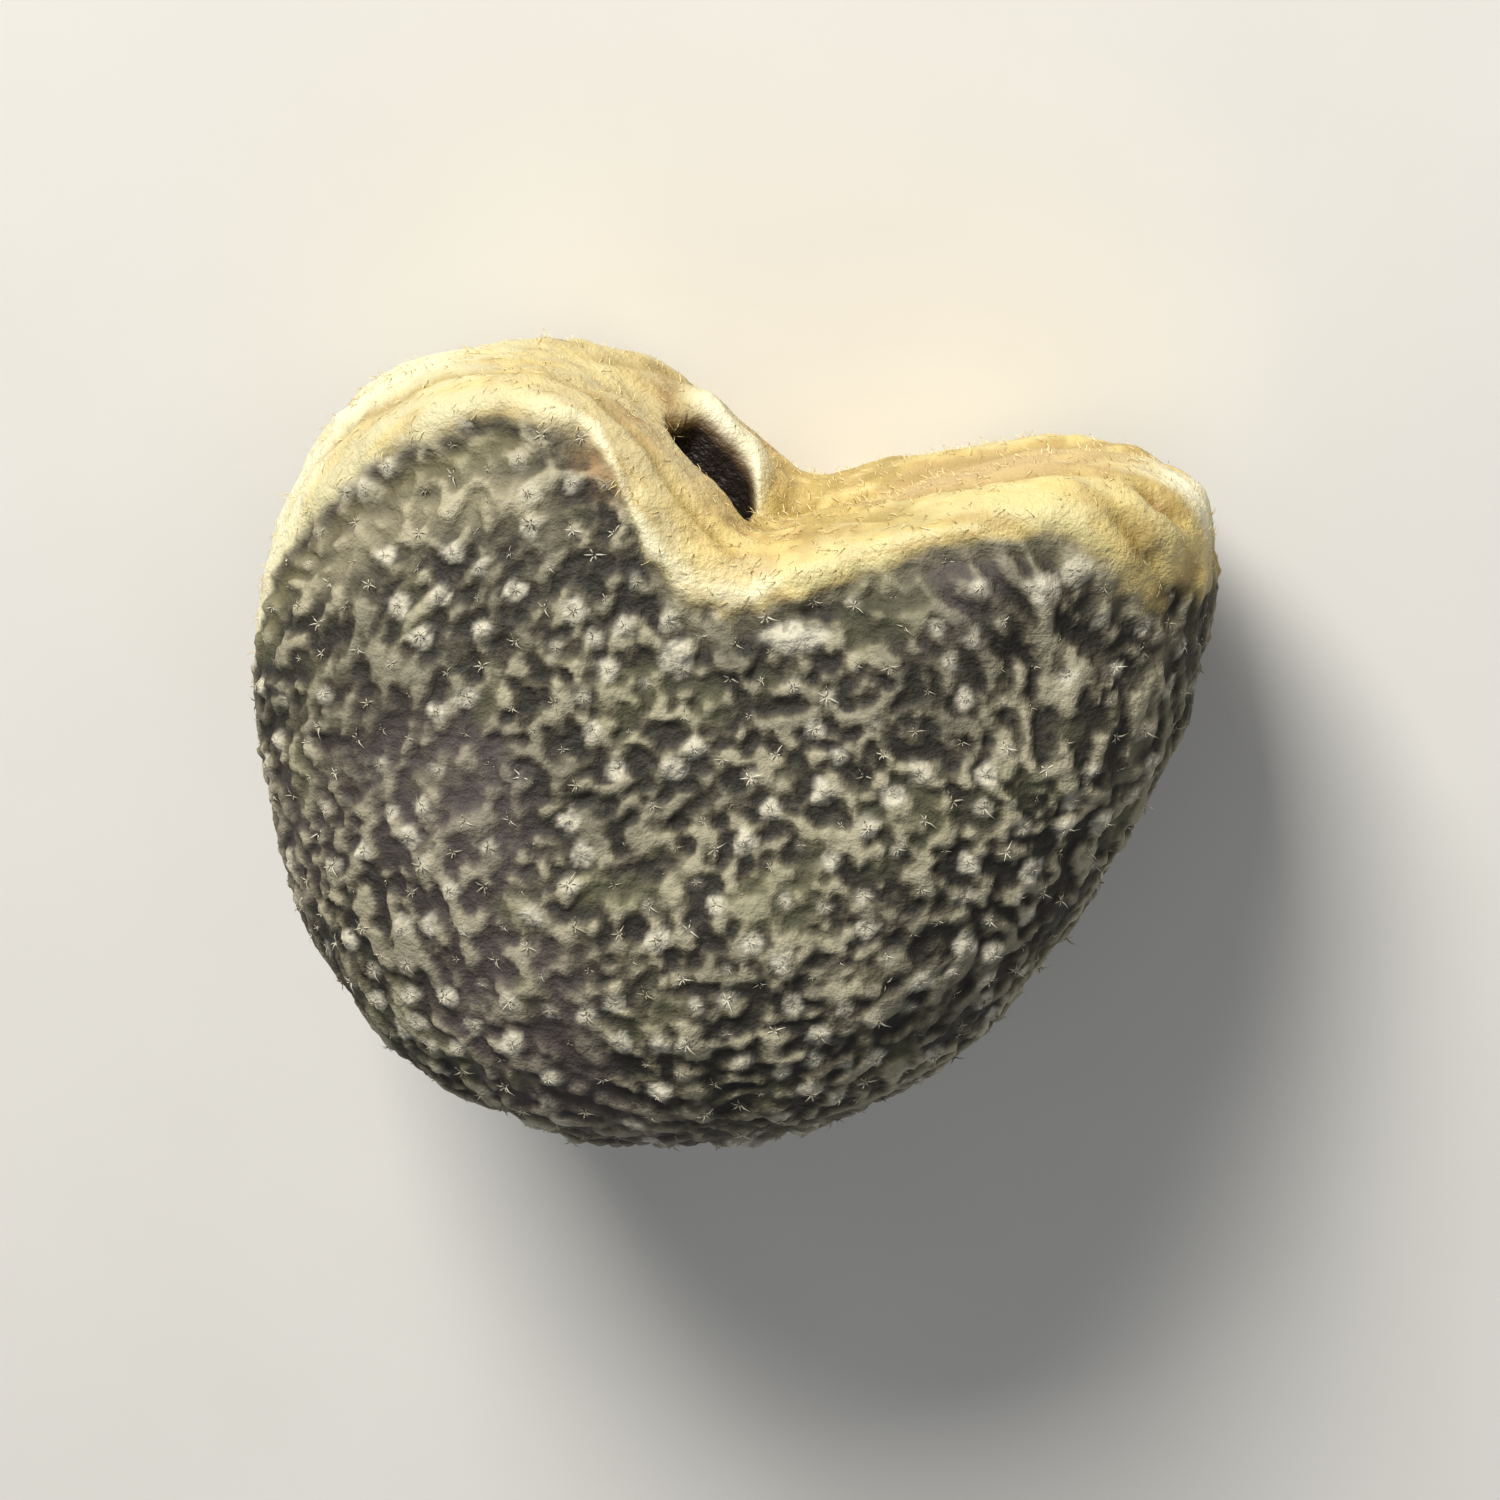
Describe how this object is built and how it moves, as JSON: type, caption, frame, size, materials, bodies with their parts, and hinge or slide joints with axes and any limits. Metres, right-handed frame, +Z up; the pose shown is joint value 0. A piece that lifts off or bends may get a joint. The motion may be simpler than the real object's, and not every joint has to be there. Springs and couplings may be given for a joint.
{
  "type": "indian mallow seed",
  "caption": "Kidney-shaped mallow seed with unequal lobes, a rimmed hilum notch and a hairy grey-brown coat, lying on its side.",
  "frame": {"origin": "on the ground, under the middle of the seed's bounding box", "axes": "+X along the seed's length, from the broad lobe towards the narrow one; +Y roughly the way the notch opens; +Z up, through the thickness"},
  "size_m": [0.003, 0.0024, 0.0016],
  "materials": {
    "seed_coat": "matte"
  },
  "bodies": {
    "root": {"seed": "seed_coat"}
  },
  "joints": []
}
